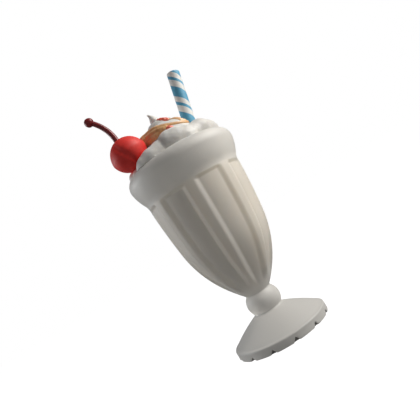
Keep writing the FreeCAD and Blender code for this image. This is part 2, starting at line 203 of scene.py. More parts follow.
def outside_outline():
    """The outside from under the foot up to the lip's inner edge."""
    hollow = (FOOT_RING, FOOT_HOLLOW)
    edge_low, edge_high = (FOOT_RADIUS - FOOT_EDGE, 0), (FOOT_RADIUS, FOOT_EDGE)
    rim = (FOOT_RADIUS, FOOT_RIM)
    cone_end = (KNOP_FOOT[0] + 2.2, KNOP_FOOT[1] - 0.9)
    panel_end = (NECK_RADIUS - 0.05, PANEL_TOP - PANEL_BEVEL - 1.0)
    neck = (NECK_RADIUS, PANEL_TOP)
    stops = [np.array([[0.0, FOOT_HOLLOW]])]
    stops.append(line((0, FOOT_HOLLOW), hollow, 6))
    stops.append(arc(hollow, (FOOT_RING + FOOT_HOLLOW, 0.0), 2.0, 5, -1))
    stops.append(line((FOOT_RING + FOOT_HOLLOW, 0), edge_low, 12))
    stops.append(arc(edge_low, edge_high, FOOT_EDGE, 4))
    stops.append(line(edge_high, rim, 14))
    stops.append(arc(rim, FOOT_SHOULDER, FOOT_ROUND, 8))
    stops.append(arc(FOOT_SHOULDER, cone_end, CONE_CURVE, 24))
    # From the cone in to the knop, round it, and out again to the bowl.
    stops.append(arc(cone_end, (KNOP_FOOT[0] + 0.3, KNOP_FOOT[1] + 0.8), 2.2, 8, -1))
    stops.append(arc(stops[-1][-1], (BOWL_FOOT[0] + 0.4, BOWL_FOOT[1] - 0.6), KNOP_CURVE, 30))
    stops.append(arc(stops[-1][-1], (BOWL_FOOT[0] + 1.1, BOWL_FOOT[1] + 1.1), 1.6, 6, -1))
    stops.append(arc(stops[-1][-1], SWELL, LOW_CURVE, 60))
    stops.append(arc(SWELL, panel_end, HIGH_CURVE, 30))
    stops.append(line(panel_end, neck, 14))
    # From the neck out to the collar, and over the lip to its inner edge.
    stops.append(arc(neck, (NECK_RADIUS + 1.4, NECK + 3.4), 14.0, 8, -1))
    stops.append(arc(stops[-1][-1], COLLAR, COLLAR_LOW_CURVE, 18))
    stops.append(arc(COLLAR, (LIP_RADIUS + 0.1, LIP_TOP - 0.1), COLLAR_HIGH_CURVE, 20))
    stops.append(arc(stops[-1][-1], (LIP_RADIUS - 0.9, LIP_TOP), 2.4, 4))
    stops.append(arc(stops[-1][-1], LIP_INNER, 1.5, 6))
    return np.concatenate(stops)


def off_middle(angle, count, turn):
    """How far an angle is from the middle of the nearest of some evenly spaced copies."""
    pitch = 2 * math.pi / count
    return np.abs((angle - turn + pitch / 2) % pitch - pitch / 2)


def panel_press(angle, radius, height):
    """How far the sunk panels press the outside in at an angle and height."""
    off = off_middle(angle, PANELS, PANEL_TURN) * radius
    half = PANEL_HALF * radius
    slope = np.minimum(PANEL_SLOPE, half * 1.5)
    across = smooth_step((half + slope / 2 - off) / slope)
    rise = smooth_step((height - BOWL_FOOT[1] - 1.0) / PANEL_RISE)
    fall = smooth_step((PANEL_TOP - height) / PANEL_BEVEL)
    deeper = PANEL_DEEPER * np.exp(-((height - PANEL_DEEPEST) / PANEL_DEEPER_REACH) ** 2)
    return (PANEL_DEPTH + deeper) * across * rise * fall


def notch_press(angle, radius, height):
    """How far the small notches press the foot's lower edge in."""
    off = off_middle(angle, NOTCHES, NOTCH_TURN) * FOOT_RADIUS
    half = NOTCH_WIDTH / 2 * (1 - height / NOTCH_HEIGHT)
    inside = smooth_step((half - off) / NOTCH_EDGE + 0.5)
    reach = np.clip(radius - (FOOT_RADIUS - NOTCH_DEPTH), 0, NOTCH_DEPTH)
    return np.where(height < NOTCH_HEIGHT, inside * reach, 0.0)


def lathe_points(outline, columns, press=None):
    """Rings of points round the upright axis, pressed in by a function of place."""
    angle = 2 * math.pi * np.arange(columns) / columns
    radius = np.repeat(outline[:, :1], columns, 1)
    height = np.repeat(outline[:, 1:], columns, 1)
    turn = np.repeat(angle[None, :], len(outline), 0)
    if press is not None:
        radius = radius - press(turn, radius, height)
    return np.stack([radius * np.cos(turn), radius * np.sin(turn), height], -1)


def lathe(name, outline, columns, press=None):
    """A closed turned piece whose outline starts and ends on the axis."""
    rings = lathe_points(outline[1:-1], columns, press)
    poles = [[0, 0, outline[0, 1]], [0, 0, outline[-1, 1]]]
    points = np.concatenate([rings.reshape(-1, 3), poles])
    piece = mesh_object(name, points, grid_faces(len(rings), columns))
    column = np.arange(columns)
    ahead = (column + 1) % columns
    pole = np.full(columns, len(rings) * columns)
    last = pole - columns
    start = np.stack([ahead, column, pole], 1)
    finish = np.stack([last + column, last + ahead, pole + 1], 1)
    add_triangles(piece.data, np.concatenate([start, finish]))
    return piece


def add_triangles(mesh, triangles):
    """Adds triangles to a mesh that already has its points."""
    work = bmesh.new()
    work.from_mesh(mesh)
    work.verts.ensure_lookup_table()
    for triangle in triangles:
        face = work.faces.new([work.verts[int(i)] for i in triangle])
        face.smooth = True
    bmesh.ops.recalc_face_normals(work, faces=work.faces)
    work.to_mesh(mesh)
    work.free()


def make_glass():
    """The pressed glass, outside and inside in one closed skin."""
    outside = outside_outline()
    inside = inside_outline()[::-1]
    outline = np.concatenate([outside, inside[1:]])

    def press(angle, radius, height):
        row = np.arange(len(height))[:, None]
        outer = row < len(outside) - 1
        pressed = panel_press(angle, radius, height) + notch_press(angle, radius, height)
        return np.where(outer, pressed, 0.0)

    piece = lathe("soda_glass", outline, GLASS_COLUMNS, press)
    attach(piece, "root")
    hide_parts("glass")
    return piece


def make_shake():
    """The shake: it fills the bowl up to the neck and reaches just into the glass."""
    outline = inside_outline(REACH_IN)
    outline = outline[outline[:, 1] < NECK - 0.2]
    edge = (NECK_RADIUS - WALL + REACH_IN, NECK)
    outline = np.concatenate([outline, [edge], line(edge, (0, NECK), 8)])
    piece = lathe("shake_fill", outline, SHAKE_COLUMNS)
    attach(piece, "root")
    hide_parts("milkshake")
    return piece


# ---------------------------------------------------------------- fields for cream and sauce
# A field holds, at each point of an upright grid, the rough distance to a shape's surface:
# below zero inside it. Shapes are blended in one by one, and a net of quads is drawn at zero.
STEP = 0.5
FIELD_LOW = np.array([-48.0, -48.0, NECK - 3.0])
FIELD_SHAPE = (193, 193, 152)
FAR = 9.0
# Spare room round the part of the grid that a shape is worked out in.
SPARE = 1.0


def window_round(low, high):
    """The part of the grid that covers a box, as slices and as coordinates."""
    first = np.maximum(np.floor((np.array(low) - FIELD_LOW) / STEP).astype(int), 0)
    last = np.minimum(np.ceil((np.array(high) - FIELD_LOW) / STEP).astype(int) + 1, FIELD_SHAPE)
    axes = [
        (FIELD_LOW[k] + STEP * np.arange(first[k], last[k])).astype(np.float32) for k in range(3)
    ]
    x, y, z = np.meshgrid(*axes, indexing="ij", sparse=True)
    return tuple(slice(a, b) for a, b in zip(first, last)), (x, y, z)


def blend_min(one, other, soft):
    """The nearer of two distances, rounded where they meet."""
    near = np.maximum(soft - np.abs(one - other), 0) / soft
    return np.minimum(one, other) - near * near * soft / 4


def blend_max(one, other, soft):
    """The farther of two distances, rounded where they meet."""
    return -blend_min(-one, -other, soft)


def add_lobe(field, middle, radii, turn, tilt, soft):
    """Blends in a puff of cream: an egg shape turned about the upright and tilted sideways."""
    reach = max(radii) + soft + SPARE
    window, (x, y, z) = window_round(np.array(middle) - reach, np.array(middle) + reach)
    spin = Matrix.Rotation(turn, 3, "Z") @ Matrix.Rotation(tilt, 3, "Y")
    local = []
    for axis in range(3):
        local.append(along_way(x, y, z, middle, [spin[k][axis] for k in range(3)]))
    near = np.sqrt(sum((part / size) ** 2 for part, size in zip(local, radii)))
    slope = np.sqrt(sum((part / size ** 2) ** 2 for part, size in zip(local, radii)))
    field[window] = blend_min(field[window], near * (near - 1) / np.maximum(slope, 1e-4), soft)


def add_rope(field, points, sizes, soft):
    """Blends in a rope of cream that runs through points and changes in thickness."""
    for start, end, thick, thin in zip(points[:-1], points[1:], sizes[:-1], sizes[1:]):
        reach = max(thick, thin) + soft + SPARE
        low, high = np.minimum(start, end) - reach, np.maximum(start, end) + reach
        window, (x, y, z) = window_round(low, high)
        share, away = along_segment(x, y, z, start, end)
        field[window] = blend_min(field[window], away - (thick + (thin - thick) * share), soft)


def along_way(x, y, z, start, way):
    """How far each point lies from a start along a way, times the way's length."""
    return (x - start[0]) * way[0] + (y - start[1]) * way[1] + (z - start[2]) * way[2]


def along_segment(x, y, z, start, end):
    """How far along a segment each point lies, from 0 to 1, and how far away from it."""
    way = end - start
    share = np.clip(along_way(x, y, z, start, way) / way.dot(way), 0, 1)
    away = np.sqrt(
        (x - start[0] - share * way[0]) ** 2
        + (y - start[1] - share * way[1]) ** 2
        + (z - start[2] - share * way[2]) ** 2
    )
    return share, away


def net(field, low, step):
    """Points and quads of the surface where a field passes zero."""
    inside = field < 0
    cells = np.array(field.shape) - 1
    totals = np.zeros((int(np.prod(cells)), 4), dtype=np.float32)
    crossings = []
    for axis in range(3):
        lower = [slice(None)] * 3
        upper = [slice(None)] * 3
        lower[axis], upper[axis] = slice(0, -1), slice(1, None)
        start, end = field[tuple(lower)], field[tuple(upper)]
        place = np.argwhere((start < 0) != (end < 0))
        one, two = start[tuple(place.T)], end[tuple(place.T)]
        point = place.astype(np.float32)
        point[:, axis] += one / (one - two)
        others = [k for k in range(3) if k != axis]
        inner = np.all((place[:, others] > 0) & (place[:, others] < cells[others]), axis=1)
        place, point, one = place[inner], point[inner], one[inner]
        corners = []
        for a, b in ((1, 1), (0, 1), (0, 0), (1, 0)):
            cell = place.copy()
            cell[:, others[0]] -= a
            cell[:, others[1]] -= b
            index = np.ravel_multi_index(cell.T, cells)
            corners.append(index)
            for k in range(3):
                totals[:, k] += np.bincount(index, point[:, k], len(totals)).astype(np.float32)
            totals[:, 3] += np.bincount(index, minlength=len(totals)).astype(np.float32)
        quads = np.stack(corners, 1)
        outward = (one < 0) != (axis == 1)
        crossings.append(np.where(outward[:, None], quads, quads[:, ::-1]))
    used = np.flatnonzero(totals[:, 3])
    points = totals[used, :3] / totals[used, 3:] * step + low
    number = np.zeros(len(totals), dtype=np.int64)
    number[used] = np.arange(len(used))
    return points, number[np.concatenate(crossings)]


def relax(points, faces, rounds, amount=0.5):
    """Evens out a net by moving each point towards the middle of its neighbours."""
    one, two = np.concatenate([faces[:, [k, (k + 1) % 4]] for k in range(4)]).T
    size = len(points)
    number = np.bincount(one, minlength=size) + np.bincount(two, minlength=size)
    for _ in range(rounds):
        total = np.zeros_like(points)
        for k in range(3):
            total[:, k] = np.bincount(one, points[two, k], size)
            total[:, k] += np.bincount(two, points[one, k], size)
        points = points + (total / number[:, None] - points) * amount
    return points


def place_round(azimuth, distance, height):
    """A point given by its angle round the axis in degrees, distance from it and height."""
    angle = math.radians(azimuth)
    return np.array([distance * math.cos(angle), distance * math.sin(angle), height])


# Puffs of cream: angle round the glass (270 faces the front), distance from the axis, height
# above the lip, half sizes along the rim, outwards and upwards, and tilt in degrees.
RIM_PUFFS = (
    (8, 30.0, 3.2, 14.0, 13.0, 11.0, 0),
    (26, 31.0, 4.2, 13.0, 12.0, 10.5, -10),
    (62, 31.5, 3.8, 13.5, 12.0, 11.0, -12),
    (98, 31.0, 4.6, 14.0, 12.5, 11.0, -12),
    (134, 31.0, 4.0, 13.0, 12.5, 10.5, -12),
    (166, 33.0, 3.0, 11.0, 11.0, 9.0, -10),
    (191, 37.5, 0.2, 8.0, 7.0, 6.6, -6),
    (211, 37.5, -0.6, 7.5, 6.0, 5.4, 0),
)
# The long folds in front: points (x, y, height above the lip) and how thick they are there.
FRONT_FOLDS = (
    (((-22.5, -28.5, -0.5), (-16, -29, 1.0), (-9, -27.5, 2.3)), (9.6, 10.2, 10.6)),
    (((2, -26, 5.0), (7, -26, 4.2), (13, -25, 2.4)), (12.0, 12.0, 11.6)),
    (((19, -22, 4.5), (27, -15, 5.0), (32, -6, 3.0), (34, 4, 1.5)), (8.5, 10.0, 10.4, 10.0)),
)
# Big soft masses of the second tier: middle (x, y, height above the lip) and half sizes.
INNER_MASSES = (
    ((0, 0, 2), (36, 36, 15)),
    ((1, 0, 12), (14, 14, 15)),
    ((-13, -5, 19), (10.5, 10.5, 9.2)),
    ((12, -1, 17), (11.5, 11, 11)),
)
# How softly shapes run into each other.
MASS_CREASE = 2.0
CREASE = 2.4
FOLD_CREASE = 1.2
SWIRL_CREASE = 0.7
SEAT_CREASE = 0.8
SWIRL_TURNS = 2.15
SWIRL_STEPS = 72
SWIRL_START = 330
SWIRL_RADIUS = 13.0
SWIRL_LOW = 15.0
SWIRL_RISE = 19.0
SWIRL_ASIDE = 1.3
SWIRL_THICK = 8.6
SWIRL_THIN = 2.6
# The curl at the end of the swirl: x, height above the lip and thickness.
SWIRL_TIP = (
    (-0.8, 36.0, 3.9), (-1.1, 38.0, 3.0), (-1.6, 39.8, 2.05),
    (-2.3, 41.5, 1.25), (-3.1, 42.8, 0.75), (-3.9, 43.5, 0.4),
)
SWIRL_TIP_DEPTH = -0.2
RIPPLE = 0.28
FINE_RIPPLE = 0.10
# The cream reaches a little below the neck, and its plug in the glass a little above the lip.
PLUG_LOW = NECK - 1.5
PLUG_TOP = 1.0
# How far the cherry and the straw are sunk into the cream.
CHERRY_SINK = 0.3
STRAW_SINK = 0.25


def add_puffs(field, puffs, crease):
    """Blends in a ring of puffs, each turned to follow the rim."""
    for azimuth, distance, height, along, out, up, tilt in puffs:
        middle = place_round(azimuth, distance, LIP_TOP + height)
        turn = math.radians(azimuth + 90)
        add_lobe(field, middle, (along, out, up), turn, math.radians(tilt), crease)


def swirl_points():
    """The rope of the top dollop: it winds inwards and up, then ends in a tip that curls left."""
    points, sizes = [], []
    for step in range(SWIRL_STEPS + 1):
        share = step / SWIRL_STEPS
        azimuth = SWIRL_START - 360 * SWIRL_TURNS * share
        height = LIP_TOP + SWIRL_LOW + SWIRL_RISE * share ** 0.9
        middle = place_round(azimuth, SWIRL_RADIUS * (1 - share), height)
        points.append(middle + (SWIRL_ASIDE * (1 - share), 0, 0))
        sizes.append(SWIRL_THICK * (1 - share) ** 0.8 + SWIRL_THIN)
    for x, height, size in SWIRL_TIP:
        points.append(np.array([x, SWIRL_TIP_DEPTH, LIP_TOP + height]))
        sizes.append(size)
    return points, sizes


def ripples(x, y, z):
    """Soft dents all over the cream and finer ones on top of them."""
    soft = np.sin(0.42 * x + 1.7 * np.sin(0.23 * z)) * np.sin(0.39 * y + 0.9)
    soft = soft * np.sin(0.47 * z + 0.6)
    fine = np.sin(0.9 * x + 0.8 * np.sin(0.7 * y)) * np.sin(0.83 * y + 1.1 * np.sin(0.6 * z))
    fine = fine * np.sin(0.95 * z)
    return (RIPPLE * soft + FINE_RIPPLE * fine).astype(np.float32)


def cream_field():
    """The whole of the whipped cream, with room for the cherry and the straw."""
    field = np.full(FIELD_SHAPE, FAR, dtype=np.float32)
    _, (x, y, z) = window_round(FIELD_LOW, FIELD_LOW + STEP * np.array(FIELD_SHAPE))
    for (across, depth, height), radii in INNER_MASSES:
        add_lobe(field, (across, depth, LIP_TOP + height), radii, 0, 0, MASS_CREASE)
    add_puffs(field, RIM_PUFFS, CREASE)
    for points, sizes in FRONT_FOLDS:
        add_rope(field, np.array(points) + (0, 0, LIP_TOP), sizes, FOLD_CREASE)
    add_rope(field, *swirl_points(), SWIRL_CREASE)
    field += ripples(x, y, z)
    # Inside the glass, the cream is a plug as wide as the glass.
    radius = np.sqrt(x * x + y * y)
    outline = inside_outline(CREAM_REACH_IN)
    inner = np.interp(z, outline[:, 1], outline[:, 0]).astype(np.float32)
    plug = np.maximum(np.maximum(radius - inner, PLUG_LOW - z), z - LIP_TOP - PLUG_TOP)
    above = np.minimum(field, np.where(z < LIP_TOP + 2 * PLUG_TOP, plug, FAR))
    field = np.where(z < LIP_TOP, plug, above)
    away = np.sqrt(
        ((x - CHERRY_MIDDLE[0]) / CHERRY_RADIUS) ** 2
        + ((y - CHERRY_MIDDLE[1]) / CHERRY_RADIUS) ** 2
        + ((z - CHERRY_MIDDLE[2]) / (CHERRY_HEIGHT / 2)) ** 2
    )
    field = blend_max(field, (1 - away) * CHERRY_RADIUS - CHERRY_SINK, SEAT_CREASE)
    start, end = straw_ends()
    _, off = along_segment(x, y, z, start, end)
    field = blend_max(field, STRAW_RADIUS - STRAW_SINK - off, SEAT_CREASE)
    return field.astype(np.float32)


def straw_ends():
    """The middles of the straw's lower and upper ends."""
    way = place_round(math.degrees(STRAW_AZIMUTH), math.sin(STRAW_LEAN), math.cos(STRAW_LEAN))
    return STRAW_MIDDLE - way * STRAW_LENGTH / 2, STRAW_MIDDLE + way * STRAW_LENGTH / 2


def make_cream(field):
    """The whipped cream as one closed skin."""
    points, faces = net(field, FIELD_LOW, STEP)
    piece = mesh_object("cream_swirl", relax(points, faces, rounds=3), faces)
    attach(piece, "root")
    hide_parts("whipped_cream")
    return piece


# ---------------------------------------------------------------- sauces
# How far sauce reaches into the cream, and how many steps lie between two points of a run.
SAUCE_DEPTH = 0.8
RUN_STEPS = 4
# The distance from the axis at which the search for the cream's side starts.
PRESS_FROM = 40


def drop_on(field, x, y):
    """The place on top of the cream above or below a point in plan."""
    column = np.round((np.array([x, y]) - FIELD_LOW[:2]) / STEP).astype(int)
    inside = np.flatnonzero(field[column[0], column[1]] < 0)
    return np.array([x, y, FIELD_LOW[2] + STEP * inside[-1]])


def press_on(field, azimuth, height):
    """The outermost place of the cream at an angle round the axis and a height above the lip."""
    for distance in np.arange(PRESS_FROM, 0, -STEP / 2):
        place = place_round(azimuth, distance, LIP_TOP + height)
        cell = np.round((place - FIELD_LOW) / STEP).astype(int)
        if field[tuple(cell)] < 0:
            return place
    return drop_on(field, 0, 0)


def curve_through(stops, steps):
    """A smooth run of points through stops, each with its half width last."""
    stops = np.array(stops, float)
    padded = np.concatenate([stops[:1] * 2 - stops[1:2], stops, stops[-1:] * 2 - stops[-2:-1]])
    run = []
    for a, b, c, d in zip(padded[:-3], padded[1:-2], padded[2:-1], padded[3:]):
        for share in np.arange(steps) / steps:
            run.append(
                0.5 * (2 * b + (c - a) * share + (2 * a - 5 * b + 4 * c - d) * share ** 2
                       + (3 * b - a - 3 * c + d) * share ** 3)
            )
    run.append(stops[-1])
    return np.array(run)


def sauce_piece(name, slot, field, runs, side_runs, thick, ragged):
    """Sauce on the cream with rounded, ragged edges.

    A run lies on top of the cream through points (x, y, half width). A side run lies against its
    side through points (angle round the axis, height above the lip, half width).
    """
    near = np.full(FIELD_SHAPE, FAR, dtype=np.float32)
    paths = [(curve_through(run, RUN_STEPS), drop_on) for run in runs]
    paths += [(curve_through(run, RUN_STEPS), press_on) for run in side_runs]
    for path, put in paths:
        places = [put(field, one, two) for one, two, _ in path]
        for start, end, width in zip(places[:-1], places[1:], path[:-1, 2]):
            if np.linalg.norm(end - start) < 1e-3:
                continue
            reach = width * 1.6 + SPARE
            low, high = np.minimum(start, end) - reach, np.maximum(start, end) + reach
            window, (x, y, z) = window_round(low, high)
            _, away = along_segment(x, y, z, start, end)
            uneven = np.sin(1.9 * x + 2.0 * np.sin(1.3 * z)) * np.sin(1.7 * y + 1.1 * z)
            near[window] = np.minimum(near[window], (away / width) ** 2 + ragged * uneven)
    sauce = np.maximum(field - thick * (1 - near), -(field + SAUCE_DEPTH))
    points, faces = net(sauce.astype(np.float32), FIELD_LOW, STEP)
    piece = mesh_object(name, relax(points, faces, rounds=2), faces)
    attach(piece, "root")
    return piece


# Runs of sauce as sauce_piece takes them. Angles from about 200 to 340 face the front.
CARAMEL_SIDE_RUNS = (
    ((198, 25, 2.4), (215, 27, 3.0), (238, 27, 3.0), (262, 25.5, 2.4), (285, 22, 1.8),
     (308, 19.5, 1.5), (330, 18.2, 1.7)),
    ((203, 21.5, 2.6), (225, 23, 2.6), (245, 23, 2.6), (262, 22.3, 2.2), (282, 20.5, 1.5)),
    ((312, 29.0, 1.6), (316, 27.5, 2.6), (320, 25.5, 3.0), (323, 23.5, 3.0), (328, 21, 2.6),
     (336, 18.5, 1.7)),
    ((210, 18, 2.8), (228, 19, 2.8), (245, 18.8, 2.8), (258, 18.8, 2.4), (268, 19.5, 2.0),
     (278, 20, 1.3)),
    ((50, 20, 1.5), (75, 22.5, 1.9), (105, 21, 1.7), (135, 23, 1.9), (165, 22, 1.8),
     (185, 24.5, 2.0), (198, 25, 2.4)),
    ((62, 27.5, 1.3), (90, 28.5, 1.6), (120, 27, 1.5), (150, 28.5, 1.5), (180, 27, 1.8),
     (196, 26, 2.2)),
    ((103, 21, 1.7), (106, 18, 1.7), (104, 15.5, 1.9)),
)
CARAMEL_RUNS = (
    ((24, -6, 1.6), (24.5, -2.5, 1.8), (24, 0, 1.4)),
)
SYRUP_SIDE_RUNS = (
    ((287, 33.3, 1.5), (297, 31.4, 2.3), (307, 29.4, 2.4), (315, 27.6, 1.6)),
    ((284, 19.2, 1.6), (289, 18.2, 1.9), (294, 17.2, 1.1)),
    ((118, 31, 1.2), (128, 29, 1.7), (136, 27.5, 1.1)),
    ((78, 17.5, 1.5), (84, 16.5, 1.2)),
)
SYRUP_RUNS = (
    ((27.5, -4, 1.0), (29.5, -4.5, 1.1)),
)


# ---------------------------------------------------------------- cherry, stem and straw
CHERRY_COLUMNS = 128
DIMPLE_DEPTH = 2.6
DIMPLE_RADIUS = 5.6
# The seam: its angle and how it leans with height, its depth and how narrow it is.
SEAM_ANGLE = math.radians(264)
SEAM_LEAN = 0.028
SEAM_DEPTH = 1.0
SEAM_NARROW = 6.5
LUMPS = 0.25
STEM_STRAIGHT = 4.6
STEM_CURVE = 33.0
STEM_BEND = math.radians(46.2)
# The stem's radius at its foot, where its curve starts and where its knob starts.
STEM_RADII = (2.75, 2.4, 2.05)
STEM_ASIDE = -0.9
STEM_SINK = 2.9
KNOB_RADIUS = 3.85
KNOB_AHEAD = 0.6
STEM_COLUMNS = 40
STRAW_COLUMNS = 64


def make_cherry():
    """The cherry, with the hollow at its stem and a seam down one side."""
    half = CHERRY_HEIGHT / 2
    curve = (CHERRY_RADIUS ** 2 + half ** 2) / (2 * half)
    crest, brink = (DIMPLE_RADIUS + 1.2, half - 0.5), (DIMPLE_RADIUS - 2.0, half - 0.8)
    outline = np.concatenate([
        [[0.0, -half]],
        arc((0, -half), (CHERRY_RADIUS, 0), curve, 36),
        arc((CHERRY_RADIUS, 0), crest, curve, 30),
        arc(crest, brink, 2.4, 10),
        arc(brink, (0.0, half - DIMPLE_DEPTH), 5.0, 10, -1),
    ])

    def press(angle, radius, height):
        seam_at = SEAM_ANGLE - SEAM_LEAN * height
        off = off_middle(angle, 1, seam_at)
        seam = SEAM_DEPTH * np.exp(-(off * SEAM_NARROW) ** 2)
        seam = seam * np.clip(1 - np.abs(height / half) ** 4, 0, 1)
        lumps = LUMPS * np.sin(2 * angle + 0.6) * np.sin(height * 0.2 + 0.5)
        return (seam + lumps) * np.clip(radius / 4, 0, 1)

    piece = lathe("cherry_fruit", outline, CHERRY_COLUMNS, press)
    lean = Matrix.Rotation(-CHERRY_LEAN, 4, "Y")
    piece.data.transform(Matrix.Translation(Vector(CHERRY_MIDDLE) * MM) @ lean)
    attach(piece, "root")
    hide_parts("cherry")
    return piece


def tube(name, path, sizes, columns):
    """A tube along points, open at its ends, whose radius changes from point to point."""
    path = np.array(path, float)
    way = np.gradient(path, axis=0)
    way /= np.linalg.norm(way, axis=1)[:, None]
    side = np.cross(way, [0.0, 1.0, 0.0])
    side /= np.linalg.norm(side, axis=1)[:, None]
    up = np.cross(way, side)
    angle = 2 * math.pi * np.arange(columns) / columns
    across, upwards = np.cos(angle)[None, :, None], np.sin(angle)[None, :, None]
    ring = across * side[:, None] + upwards * up[:, None]
    points = (path[:, None] + ring * np.array(sizes)[:, None, None]).reshape(-1, 3)
    return mesh_object(name, points, grid_faces(len(path), columns))


def make_stem():
    """The stem: it swells a little where it meets the cherry and ends in a knob."""
    tilt = Matrix.Rotation(-CHERRY_LEAN, 3, "Y")
    lean = Matrix.Rotation(-STEM_LEAN, 3, "Y")
    swing = lean @ Matrix.Rotation(STEM_AZIMUTH, 3, "Z")
    foot = tilt @ Vector((STEM_ASIDE, 0, CHERRY_HEIGHT / 2 - STEM_SINK))
    base = np.array(CHERRY_MIDDLE) + np.array(foot)
    path, sizes = [], []

    def put(side, height, size):
        path.append(base + np.array(swing @ Vector((side, 0, height))))
        sizes.append(size)

    wide, middle, narrow = STEM_RADII
    for share in np.linspace(0, 1, 10):
        put(0, STEM_STRAIGHT * share, wide - (wide - middle) * share)
    for share in np.linspace(0.04, 1, 26):
        angle = STEM_BEND * share
        side, height = STEM_CURVE * (1 - math.cos(angle)), STEM_CURVE * math.sin(angle)
        put(side, STEM_STRAIGHT + height, middle - (middle - narrow) * share)
    end, way = path[-1].copy(), path[-1] - path[-2]
    way /= np.linalg.norm(way)
    # The knob is a ball whose points start where it gets thicker than the stem.
    for share in np.linspace(0.12, 0.995, 22):
        angle = math.pi * share
        size = max(KNOB_RADIUS * math.sin(angle) * (1 + 0.06 * math.cos(angle)), 0.02)
        if size > narrow or share > 0.5:
            path.append(end + way * (KNOB_AHEAD - KNOB_RADIUS * math.cos(angle)))
            sizes.append(size)
    piece = tube("cherry_stalk", path, sizes, STEM_COLUMNS)
    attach(piece, "root")
    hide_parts("cherry_stem")
    return piece


def make_straw():
    """The paper straw: an open tube with rounded ends and a layout for its stripes."""
    outer, inner = STRAW_RADIUS, STRAW_RADIUS - STRAW_WALL
    edge = STRAW_WALL / 2
    top = STRAW_LENGTH - edge
    half_turn = np.linspace(0, math.pi, 7)[1:-1]
    outline = [(outer, z) for z in np.linspace(edge, top, 120)]
    for angle in half_turn:
        outline.append((inner + edge + edge * math.cos(angle), top + edge * math.sin(angle)))
    outline += [(inner, z) for z in np.linspace(top, edge, 60)]
    for angle in half_turn:
        outline.append((inner + edge - edge * math.cos(angle), edge - edge * math.sin(angle)))
    outline = np.array(outline)
    columns = STRAW_COLUMNS
    points = lathe_points(outline, columns).reshape(-1, 3)
    piece = mesh_object("striped_straw", points, grid_faces(len(outline), columns, True))
    layout = piece.data.uv_layers.new(name="UVMap")
    loops = np.empty(len(piece.data.loops), dtype=np.int32)
    piece.data.loops.foreach_get("vertex_index", loops)
    around = (loops % columns).astype(float) / columns
    starts = around.reshape(-1, 4)
    wraps = starts.max(1) - starts.min(1) > 0.5
    starts[wraps] = np.where(starts[wraps] < 0.5, starts[wraps] + 1, starts[wraps])
    height = outline[loops // columns, 1]
    flat = np.stack([starts.ravel(), height / STRAW_LENGTH], 1)
    layout.data.foreach_set("uv", flat.ravel())
    start, _ = straw_ends()
    swing = Matrix.Rotation(STRAW_AZIMUTH, 4, "Z") @ Matrix.Rotation(STRAW_LEAN, 4, "Y")
    piece.data.transform(Matrix.Translation(Vector(start) * MM) @ swing)
    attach(piece, "root")
    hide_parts("straw")
    return piece


# ---------------------------------------------------------------- materials
class Nodes:
    """A material under construction: adds nodes and links with few words."""

    def __init__(self, name):
        self.material = bpy.data.materials.new(name)
        self.material.use_nodes = True
        self.tree = self.material.node_tree
        self.tree.nodes.clear()
        self.output = self.tree.nodes.new("ShaderNodeOutputMaterial")

    def add(self, kind, **values):
        """A node; underscores in an input's name stand for spaces."""
        node = self.tree.nodes.new("ShaderNode" + kind)
        for key, value in values.items():
            key = key.replace("_", " ")
            if isinstance(value, bpy.types.NodeSocket):
                self.tree.links.new(value, node.inputs[key])
            else:
                node.inputs[key].default_value = value
        return node

    def math(self, operation, one, two=0.0, third=0.0, clamp=False):
        """The result of one sum."""
        node = self.tree.nodes.new("ShaderNodeMath")
        node.operation, node.use_clamp = operation, clamp
        for index, value in enumerate((one, two, third)):
            if isinstance(value, bpy.types.NodeSocket):
                self.tree.links.new(value, node.inputs[index])
            else:
                node.inputs[index].default_value = value
        return node.outputs[0]

    def ramp(self, factor, *stops):
        """A run of colours over a factor."""
        node = self.tree.nodes.new("ShaderNodeValToRGB")
        self.tree.links.new(factor, node.inputs[0])
        marks = node.color_ramp.elements
        while len(marks) < len(stops):
            marks.new(0.5)
        for mark, (place, colour) in zip(marks, stops):
            mark.position, mark.color = place, (*colour, 1)
        return node.outputs["Color"]

    def mix(self, factor, one, two):
        """A colour between two colours."""
        node = self.tree.nodes.new("ShaderNodeMix")
        node.data_type = "RGBA"
        for index, value in ((0, factor), (6, one), (7, two)):
            if isinstance(value, bpy.types.NodeSocket):
                self.tree.links.new(value, node.inputs[index])
            elif index == 0:
                node.inputs[0].default_value = value
            else:
                node.inputs[index].default_value = (*value, 1)
        return node.outputs[2]

    def place(self):
        """Object coordinates, in metres."""
        return self.tree.nodes.new("ShaderNodeTexCoord").outputs["Object"]

    def noise(self, scale, detail=3.0, roughness=0.5, distortion=0.0):
        """Even noise over the object."""
        node = self.add(
            "TexNoise", Scale=scale, Detail=detail, Roughness=roughness, Distortion=distortion
        )
        self.tree.links.new(self.place(), node.inputs["Vector"])
        return node.outputs["Fac"]

    def bump(self, height, strength, distance):
        """A bumped normal from a height."""
        node = self.add("Bump", Height=height, Strength=strength, Distance=distance)
        return node.outputs["Normal"]

    def finish(self, shader):
        """Ends the material with its shader."""
        self.tree.links.new(shader, self.output.inputs["Surface"])
        return self.material


def dress(piece, material):
    """Gives a piece its material."""
    piece.data.materials.clear()
    piece.data.materials.append(material)


def by_ray(tree, kind, usual, chosen):
    """The chosen shader for one kind of ray and the usual one for all others."""
    ray = tree.nodes.new("ShaderNodeLightPath")
    both = tree.nodes.new("ShaderNodeMixShader")
    tree.links.new(ray.outputs[kind], both.inputs[0])
    tree.links.new(usual.outputs[0], both.inputs[1])
    tree.links.new(chosen.outputs[0], both.inputs[2])
    return both.outputs[0]


def linear(red, green, blue):
    """A colour given as it looks on a screen, 0 to 255, as the shader needs it."""

    def one(value):
        value /= 255
        return value / 12.92 if value <= 0.04045 else ((value + 0.055) / 1.055) ** 2.4

    return tuple(one(value) for value in (red, green, blue))


